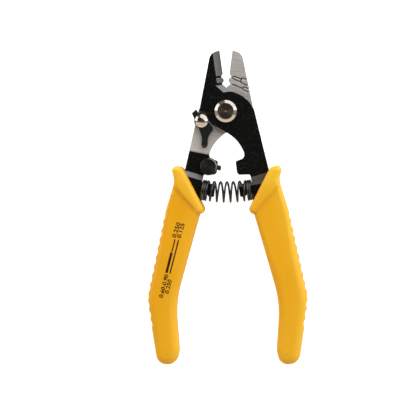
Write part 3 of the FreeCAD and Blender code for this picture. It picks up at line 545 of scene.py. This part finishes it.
def polished_steel(centre):
    """Mirror-polished steel, as a header die leaves the domed rivet, painted a little darker on its upper
    side to dim its reflection.
    """
    material, tree, shader = new_material("Polished steel")
    paint = colours()
    place, _, y, _ = place_of(tree)
    cloud = add(tree, "TexNoise", place, 1.5, 2.0)
    colour = add(tree, "Mix", cloud, paint.polished, paint.polished_cloud, data_type="RGBA")
    # Painted shade on the upper side, which dims the reflection.
    upper = beyond(tree, y, centre.y / MM + 0.4, 0.5)
    colour = add(tree, "Mix", upper, colour, paint.polished_upper_dimmed, data_type="RGBA")
    dress(tree, shader, {"Base Color": colour, "Metallic": 1.0, "Roughness": 0.12})
    return material


def plain_steel():
    """Uncoated steel of washers and nut: dull, a little cloudy."""
    material, tree, shader = new_material("Plain steel")
    paint = colours()
    cloud = add(tree, "TexNoise", place_of(tree)[0], 1.2, 3.0)
    colour = add(tree, "Mix", cloud, paint.plain, paint.plain_cloud, data_type="RGBA")
    relief = add(tree, "Bump", inputs={"Height": cloud, "Strength": 0.05, "Distance": 0.05 * MM})
    dress(tree, shader, {"Base Color": colour, "Metallic": 1.0, "Roughness": 0.35, "Normal": relief})
    return material


def grip_vinyl(name, turn, side):
    """Soft moulded vinyl: warm yellow and satin, with edges that the mould leaves soft and a fine grain.

    turn brings the grip back to the closed line, and side is +1 for the right grip and -1 for the left one.
    """
    material, tree, shader = new_material(name)
    paint = colours()
    place, x, y, z = place_of(tree, turn)
    x = add(tree, "Math", x, side, operation="MULTIPLY")
    cloud = add(tree, "TexNoise", place, 0.12, 2.0)
    warm = add(tree, "Mix", cloud, paint.grip, paint.grip_cloud, data_type="RGBA")

    # Painted highlight: the guard collars are painted paler where light would fall on their rounded bead, the
    # left one more, and their tips most.
    on_collar = all_of(tree, beyond(tree, past_line(tree, x, y, CREASE_MM), 2.6, 2.5),
                       beyond(tree, past_line(tree, x, y, INNER_EDGE_MM), 0.6, 0.9))
    pale = COLLAR_HIGHLIGHT[side]
    near_tip = beyond(tree, y, COLLAR_TIP_MM, 3.5)
    collar = add(tree, "Math", near_tip, 1.0 - pale, pale, operation="MULTIPLY_ADD")
    collar = add(tree, "Math", on_collar, collar, operation="MULTIPLY")

    # Painted highlight too: each grip is painted paler across to its right, where it faces the light. It is
    # also paler towards the end.
    upper = add(tree, "Math", y, *UPPER_RUN_MM, operation="MULTIPLY_ADD")
    lower = add(tree, "Math", y, *LOWER_RUN_MM, operation="MULTIPLY_ADD")
    middle = add(tree, "Math", upper, lower, 6.0, operation="SMOOTH_MIN")
    off_middle = add(tree, "Math", x, middle, operation="SUBTRACT")
    off_middle = add(tree, "Math", off_middle, side, operation="MULTIPLY")
    right = add(tree, "MapRange", off_middle, 0.0, 7.0)
    low = add(tree, "MapRange", y, -85.0, -112.0, GRIP_PALE[side], GRIP_PALE[side] + 0.22)
    thin = add(tree, "Math", right, 0.42, low, operation="MULTIPLY_ADD")
    paler = add(tree, "Math", collar, thin, operation="ADD", use_clamp=True)
    colour = add(tree, "Mix", paler, warm, paint.guard, data_type="RGBA")

    # The ejector pin leaves a faint round mark on the upper face.
    from_pin = round_place(tree, x, y, PIN_MM)[0]
    mark = all_of(tree, below(tree, from_pin, 0.6, 0.3), beyond(tree, z, MATING_MM))
    faint = add(tree, "Math", mark, 0.28, operation="MULTIPLY")
    colour = add(tree, "Mix", faint, colour, paint.pin_mark, data_type="RGBA")

    # Soft edges, and a grain of about 0.25 mm.
    soft_edges = add(tree, "Bevel", 1.6 * MM, samples=8)
    relief = add(tree, "Bump", inputs={"Height": add(tree, "TexNoise", place, 4.0, 2.0), "Strength": 0.1,
                                       "Distance": 0.04 * MM, "Normal": soft_edges})
    dress(tree, shader, {"Base Color": colour, "Roughness": 0.42, "Specular IOR Level": 0.4,
                         "Normal": relief})
    return material


def flat_mark(name, colour, roughness):
    """Ink or etched line: thin, matt, slightly uneven in tone."""
    material, tree, shader = new_material(name)
    cloud = add(tree, "TexNoise", place_of(tree)[0], 2.5, 2.0)
    lighter = tuple(min(1.0, channel * 1.5 + 0.01) for channel in colour)
    colour = add(tree, "Mix", cloud, colour, lighter, data_type="RGBA")
    dress(tree, shader, {"Base Color": colour, "Roughness": roughness, "Specular IOR Level": 0.1})
    return material


def spring_wire():
    """Blackened music wire: smooth and fairly bright on its crest."""
    material, tree, shader = new_material("Blackened spring wire")
    paint = colours()
    streak = add(tree, "TexNoise", place_of(tree)[0], 1.6, 2.0)
    colour = add(tree, "Mix", streak, paint.wire, paint.wire_streak, data_type="RGBA")
    dress(tree, shader, {"Base Color": colour, "Metallic": 0.3, "Roughness": 0.22, "Specular IOR Level": 0.9})
    return material


def finish(node, material):
    """Give a CAD node its material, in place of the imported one."""
    mesh = NODES[node].data
    mesh.materials.clear()
    mesh.materials.append(material)


# Modelling

def middle_of(node):
    low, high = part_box(node)
    return (low + high) / 2


def start_clean():
    """Nothing selected, and object mode."""
    if bpy.context.object and bpy.context.object.mode != "OBJECT":
        bpy.ops.object.mode_set(mode="OBJECT")
    bpy.ops.object.select_all(action="DESELECT")


def choose(piece):
    """Only this piece selected and active."""
    start_clean()
    piece.select_set(True)
    bpy.context.view_layer.objects.active = piece


def settle():
    """Apply the active object's place, so that it sits at the origin with its place in its mesh."""
    bpy.ops.object.transform_apply(location=True, rotation=True, scale=True)
    return bpy.context.object


def paint_piece(piece, name, material):
    """Name a new piece and its mesh, and give it its material."""
    piece.name = name
    piece.data.name = name
    piece.data.materials.clear()
    piece.data.materials.append(material)


def keep(piece, name, material, body):
    """Finish a new piece that rides a body."""
    paint_piece(piece, name, material)
    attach(piece, body)


def spot(u, v, height_mm):
    """The point at a height that shows at a pixel of the frame, in metres."""
    lean = (AXIS_TOP_MM - height_mm) * math.sin(LEAN_X) / PX_MM
    across = u - AXIS_PX[0] - lean - ROLL * (v - AXIS_PX[1])
    down = v - AXIS_PX[1] - ROLL * (u - AXIS_PX[0])
    return Vector((across * PX_MM / math.cos(LEAN_X) * MM, -down * PX_MM * MM, height_mm * MM))


def wire_along(points, kind, radius, roundness):
    """A round wire along a curve of some kind through the points, as a mesh."""
    start_clean()
    bpy.ops.curve.primitive_nurbs_path_add(location=(0, 0, 0))
    curve = bpy.context.object.data
    curve.splines.clear()
    spline = curve.splines.new(kind)
    spline.points.add(len(points) - 1)
    for item, point in zip(spline.points, points):
        item.co = (*point, 1.0)
    spline.order_u = 4
    spline.use_endpoint_u = True
    curve.resolution_u = 2
    curve.bevel_depth = radius
    curve.bevel_resolution = roundness
    curve.use_fill_caps = True
    bpy.ops.object.convert(target="MESH")
    return bpy.context.object


def stroke(points, width):
    """A thin flat line through the points, with round ends."""
    line = wire_along(points, "POLY", width / 2, 2)
    up = Vector((0, 0, points[0].z))
    flat = Matrix.Diagonal((1, 1, LINE_FLATNESS, 1))
    line.matrix_world = Matrix.Translation(up) @ flat @ Matrix.Translation(-up)
    return settle()


def coiled(points, radius):
    """A smooth round wire through the points."""
    wire_along(points, "NURBS", radius, 5)
    wire = settle()
    bpy.ops.object.shade_smooth_by_angle(angle=math.radians(40))
    return wire


def joined(pieces):
    """The pieces as one object."""
    start_clean()
    for piece in pieces:
        piece.select_set(True)
    bpy.context.view_layer.objects.active = pieces[0]
    bpy.ops.object.join()
    return pieces[0]


def print_on(piece, node):
    """Lay a flat mesh on a CAD node from above, as a layer of ink."""
    choose(piece)
    wrap = piece.modifiers.new("Lay on", "SHRINKWRAP")
    wrap.target = NODES[node]
    wrap.wrap_method = "PROJECT"
    wrap.use_project_z = True
    wrap.use_negative_direction = True
    wrap.use_positive_direction = False
    wrap.offset = INK_LIFT_MM * MM
    bpy.ops.object.modifier_apply(modifier=wrap.name)
    wall = piece.modifiers.new("Thickness", "SOLIDIFY")
    wall.thickness = INK_THICK_MM * MM
    wall.offset = 1.0
    bpy.ops.object.modifier_apply(modifier=wall.name)
    return piece


def printed_figures(text, foot, end):
    """Figures printed along a base line, struck twice a little apart, which makes the thin figures bold."""
    start = spot(*foot, PRINT_FACE_MM)
    run = spot(*end, PRINT_FACE_MM) - start
    start_clean()
    bpy.ops.object.text_add(location=(0, 0, 0))
    label = bpy.context.object
    label.data.body = text
    label.data.size = sizes().ink_height
    bpy.ops.object.convert(target="MESH")
    label = bpy.context.object
    stretch = run.length / max(v.co.x for v in label.data.vertices)
    turned = Matrix.Rotation(math.atan2(run.y, run.x), 4, "Z")
    base_line = Matrix.Translation((start.x, start.y, PRINT_FROM_MM * MM)) @ turned
    bpy.ops.object.duplicate()
    struck = []
    for strike, off in ((label, -STRIKE_MM * MM), (bpy.context.object, STRIKE_MM * MM)):
        strike.matrix_world = (base_line @ Matrix.Translation((off, off, 0))
                               @ Matrix.Diagonal((stretch, 1, 1, 1)))
        choose(strike)
        settle()
        struck.append(print_on(strike, "left_grip"))
    return struck


def printed_bar(start, end, wide_mm):
    """A printed bar between two places, cut along its length so that it follows the grip."""
    first, last = spot(*start, PRINT_FACE_MM), spot(*end, PRINT_FACE_MM)
    run, middle = last - first, (first + last) / 2
    start_clean()
    bpy.ops.mesh.primitive_plane_add(size=1.0, location=(0, 0, 0))
    strip = bpy.context.object
    bpy.ops.object.mode_set(mode="EDIT")
    bpy.ops.mesh.select_all(action="SELECT")
    bpy.ops.mesh.subdivide(number_cuts=12)
    bpy.ops.object.mode_set(mode="OBJECT")
    turned = Matrix.Rotation(math.atan2(run.y, run.x), 4, "Z")
    strip.matrix_world = (Matrix.Translation((middle.x, middle.y, PRINT_FROM_MM * MM)) @ turned
                          @ Matrix.Diagonal((run.length, wide_mm * MM, 1, 1)))
    settle()
    return print_on(strip, "left_grip")


def thread_points():
    """Points along the stop screw's thread, from where it leaves the boss."""
    along = Vector((math.cos(HALF_OPEN), -math.sin(HALF_OPEN), 0))
    across = Vector((math.sin(HALF_OPEN), math.cos(HALF_OPEN), 0))
    up = Vector((0, 0, 1))
    start = up * middle_of("stop_screw").z - across * SCREW_MM[0] * MM + along * SCREW_MM[1] * MM
    points = []
    for step in range(int(TURN_STEPS * THREAD_TURNS) + 1):
        turn = step / TURN_STEPS
        out = across * math.cos(2 * math.pi * turn) + up * math.sin(2 * math.pi * turn)
        points.append(start + along * THREAD_PITCH_MM * MM * turn + out * THREAD_REACH_MM * MM)
    return points


def spring_points(seat_x, seat_y):
    """Points along the return spring's wire, round an arch that meets both seats square."""
    wire, coil, turns = sizes().wire_radius, sizes().coil_radius, sizes().coil_turns
    bend = seat_x / math.sin(HALF_OPEN)  # radius of the arch
    arch_y = seat_y + bend * math.cos(HALF_OPEN)
    span = 2 * bend * HALF_OPEN - 2 * (wire + SEAT_CLEAR_MM * MM)
    closed_pitch = CLOSED_PITCH_MM * MM
    open_pitch = (span - 2 * CLOSED_TURNS * closed_pitch) / (turns - 2 * CLOSED_TURNS)

    def wound(turn):
        """Place along the arch with a sudden change of pitch."""
        if turn < CLOSED_TURNS:
            return turn * closed_pitch
        if turn > turns - CLOSED_TURNS:
            return span - (turns - turn) * closed_pitch
        return CLOSED_TURNS * closed_pitch + (turn - CLOSED_TURNS) * open_pitch

    def along(turn):
        """The same, averaged over one turn so that the pitch changes smoothly."""
        steps = 20
        return sum(wound(turn + step / steps - 0.5) for step in range(steps + 1)) / (steps + 1)

    points = []
    for step in range(TURN_STEPS * turns + 1):
        turn = step / TURN_STEPS
        angle = (along(turn) - span / 2) / bend
        phase = 2 * math.pi * (turn - turns / 2) + math.pi
        swell = SPRING_SWELL_MM * MM * math.sin(math.pi * along(turn) / span)
        reach = bend + swell + (coil + swell) * math.cos(phase)
        points.append((reach * math.sin(angle), arch_y - reach * math.cos(angle),
                       MATING_MM * MM + coil * math.sin(phase)))
    return points


# Studio

def add_floor(middle):
    """Paper that keeps the tool's shadow and shows white to the camera."""
    start_clean()
    bpy.ops.mesh.primitive_plane_add(size=FLOOR_SIZE, location=(middle.x, middle.y, 0))
    floor = settle()
    floor.name = "floor"
    material, tree, shader = new_material("Studio paper")
    dress(tree, shader, {"Base Color": colours().paper, "Roughness": 0.9, "Specular IOR Level": 0.0})
    seen = add(tree, "LightPath").node.outputs["Is Camera Ray"]
    glow = add(tree, "Emission", inputs={"Strength": PAPER_GLOW})
    dark = add(tree, "Emission", inputs={"Strength": 0.0})
    total = add(tree, "AddShader", shader.outputs[0], add(tree, "MixShader", seen, dark, glow))
    feed(tree, tree.nodes["Material Output"].inputs["Surface"], total)
    floor.data.materials.append(material)


def add_panel(middle, name, azimuth, polar, size, radiance, hue):
    """A soft panel one metre from the tool, facing it."""
    turn, tilt = math.radians(azimuth), math.radians(polar)
    out = Vector((math.sin(tilt) * math.cos(turn), math.sin(tilt) * math.sin(turn), math.cos(tilt)))
    bpy.ops.object.light_add(type="AREA", location=middle + out)
    lamp = bpy.context.object
    lamp.name = name
    lamp.rotation_mode = "QUATERNION"
    lamp.rotation_quaternion = out.to_track_quat("Z", "Y")
    lamp.data.shape = "RECTANGLE"
    lamp.data.size, lamp.data.size_y = size
    lamp.data.energy = radiance * math.pi * size[0] * size[1]
    lamp.data.color = linear(hue)


def add_world(scene):
    """A room that is light near the floor and dark overhead. The camera sees plain white behind the tool."""
    world = bpy.data.worlds.new("Studio")
    scene.world = world
    world.use_nodes = True
    tree = world.node_tree
    seen = add(tree, "LightPath").node.outputs["Is Camera Ray"]
    direction = add(tree, "TexCoord").node.outputs["Generated"]
    height = add(tree, "SeparateXYZ", direction).node.outputs["Z"]
    room = add(tree, "MapRange", height, 0.0, 0.6, ROOM_LOW, ROOM_OVERHEAD)
    strength = add(tree, "MapRange", seen, 0.0, 1.0, room, 1.0)
    dress(tree, tree.nodes["Background"], {"Color": linear("#FFFFFF"), "Strength": strength})


def add_camera(scene):
    """The camera above the tool, leaning and turned a little as the picture frame is."""
    aim = spot(FRAME_PX / 2, FRAME_PX / 2, MATING_MM)
    back = Vector((math.sin(LEAN_X), math.sin(LEAN_Y), math.cos(LEAN_X) * math.cos(LEAN_Y))).normalized()
    bpy.ops.object.camera_add(location=aim + back * CAMERA_DISTANCE)
    camera = bpy.context.object
    camera.name = "camera"
    right = Vector((0, 1, 0)).cross(back).normalized()
    turned = Matrix((right, back.cross(right), back)).transposed() @ Matrix.Rotation(-ROLL, 3, "Z")
    camera.rotation_mode = "QUATERNION"
    camera.rotation_quaternion = turned.to_quaternion()
    camera.data.sensor_width = SENSOR_MM
    camera.data.lens = SENSOR_MM * CAMERA_DISTANCE / (FRAME_PX * PX_MM * MM)
    camera.data.clip_end = 20.0
    scene.camera = camera


class STRIPPER_OT_stage(bpy.types.Operator):
    """Floor, lamps, world and camera"""
    bl_idname = "stripper.stage"
    bl_label = "Stage"

    def execute(self, context):
        scene = context.scene
        scene.view_settings.view_transform = "Standard"
        low, high = CAD_BOX
        middle = (low + high) / 2
        add_floor(middle)
        for panel in PANELS:
            add_panel(middle, *panel)
        add_world(scene)
        add_camera(scene)
        return {"FINISHED"}


class STRIPPER_OT_blades(bpy.types.Operator):
    """Both stamped blades: black, ground bright on their mating faces and bevels"""
    bl_idname = "stripper.blades"
    bl_label = "Blades"

    def execute(self, context):
        paint = colours()
        finish("front_blade", blade_steel("Front blade steel", -HALF_OPEN, 1, paint.front_bend_highlight))
        finish("rear_blade", blade_steel("Rear blade steel", HALF_OPEN, -1, paint.rear_bend_highlight))
        return {"FINISHED"}


class STRIPPER_OT_gauge_marks(bpy.types.Operator):
    """Etched outlines of the stripped cable beside the two notches"""
    bl_idname = "stripper.gauge_marks"
    bl_label = "Etched gauge marks"

    def execute(self, context):
        face = MATING_MM - BLADE_GAP_MM / 2 + LINE_LIFT_MM
        lines = [stroke([spot(u, v, face) for u, v in line], sizes().etch_width) for line in ETCHED_PX]
        etched = flat_mark("Etched line", colours().etch, 0.6)
        keep(joined(lines), "gauge_marks", etched, "left_arm")
        return {"FINISHED"}


class STRIPPER_OT_pivot(bpy.types.Operator):
    """Pivot bolt, and the washers and nut"""
    bl_idname = "stripper.pivot"
    bl_label = "Pivot"

    def execute(self, context):
        finish("pivot_bolt", pivot_steel())
        steel = plain_steel()
        for node in ("pivot_washer", "pivot_nut", "lock_washer"):
            finish(node, steel)
        return {"FINISHED"}


class STRIPPER_OT_lock(bpy.types.Operator):
    """Lock lever, its rivet, and the closing stop with the thread over its nose"""
    bl_idname = "stripper.lock"
    bl_label = "Lock and stop"

    def execute(self, context):
        hub = middle_of("lock_rivet")
        # Corner from which the lever's painted edge highlight runs.
        highlight_from = Vector((hub.x + 2.4 * MM, hub.y - 4.0 * MM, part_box("lock_lever")[1].z))
        finish("lock_lever", black_oxide(highlight_from))
        finish("lock_rivet", polished_steel(hub))
        finish("stop_screw", black_oxide())
        finish("stop_boss", turned_black(middle_of("stop_boss")))
        thread = coiled(thread_points(), THREAD_RADIUS_MM * MM)
        keep(thread, "stop_thread", black_oxide(), "left_arm")
        return {"FINISHED"}


class STRIPPER_OT_spring(bpy.types.Operator):
    """Return spring: an arched coil with closed ends, which takes the place of the CAD part"""
    bl_idname = "stripper.spring"
    bl_label = "Return spring"

    def execute(self, context):
        seat = Vector(SEAT_MM) * MM
        seat_x = seat.x * math.cos(HALF_OPEN) - seat.y * math.sin(HALF_OPEN)
        seat_y = seat.x * math.sin(HALF_OPEN) + seat.y * math.cos(HALF_OPEN)
        spring = coiled(spring_points(seat_x, seat_y), sizes().wire_radius)
        paint_piece(spring, "return_spring_wire", spring_wire())
        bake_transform(spring)
        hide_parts("return_spring")
        return {"FINISHED"}


class STRIPPER_OT_grips(bpy.types.Operator):
    """Moulded grips"""
    bl_idname = "stripper.grips"
    bl_label = "Grips"

    def execute(self, context):
        finish("left_grip", grip_vinyl("Left grip vinyl", HALF_OPEN, -1))
        finish("right_grip", grip_vinyl("Right grip vinyl", -HALF_OPEN, 1))
        return {"FINISHED"}


class STRIPPER_OT_scale(bpy.types.Operator):
    """Printed figures and bars that show each notch's wire, on the left grip"""
    bl_idname = "stripper.scale"
    bl_label = "Printed scale"

    def execute(self, context):
        pieces = []
        for text, foot, end in FIGURES_PX:
            pieces += printed_figures(text, foot, end)
        for start, end, wide in BARS_PX:
            pieces.append(printed_bar(start, end, wide))
        ink = flat_mark("Printing ink", colours().ink, 0.5)
        keep(joined(pieces), "printed_scale", ink, "left_arm")
        return {"FINISHED"}


class STRIPPER_PT_panel(bpy.types.Panel):
    """Sizes, colours and pieces of the fibre stripper"""
    bl_label = "Fibre stripper"
    bl_idname = "STRIPPER_PT_panel"
    bl_space_type = "VIEW_3D"
    bl_region_type = "UI"
    bl_category = "Stripper"

    def draw(self, context):
        layout = self.layout
        for group in (colours(), sizes()):
            for name in group.__annotations__:
                layout.prop(group, name)
        for operator in OPERATORS:
            layout.operator(operator.bl_idname)


OPERATORS = (STRIPPER_OT_stage, STRIPPER_OT_blades, STRIPPER_OT_gauge_marks, STRIPPER_OT_pivot,
             STRIPPER_OT_lock, STRIPPER_OT_spring, STRIPPER_OT_grips, STRIPPER_OT_scale)
CLASSES = (StripperColours, StripperSizes, *OPERATORS, STRIPPER_PT_panel)


def register():
    for item in CLASSES:
        bpy.utils.register_class(item)
    bpy.types.Scene.stripper_colours = bpy.props.PointerProperty(type=StripperColours)
    bpy.types.Scene.stripper_sizes = bpy.props.PointerProperty(type=StripperSizes)


def unregister():
    del bpy.types.Scene.stripper_sizes
    del bpy.types.Scene.stripper_colours
    for item in reversed(CLASSES):
        bpy.utils.unregister_class(item)


def main():
    register()
    bpy.ops.stripper.stage()
    bpy.ops.stripper.blades()
    bpy.ops.stripper.gauge_marks()
    bpy.ops.stripper.pivot()
    bpy.ops.stripper.lock()
    bpy.ops.stripper.spring()
    bpy.ops.stripper.grips()
    bpy.ops.stripper.scale()


if __name__ == "__main__":
    main()
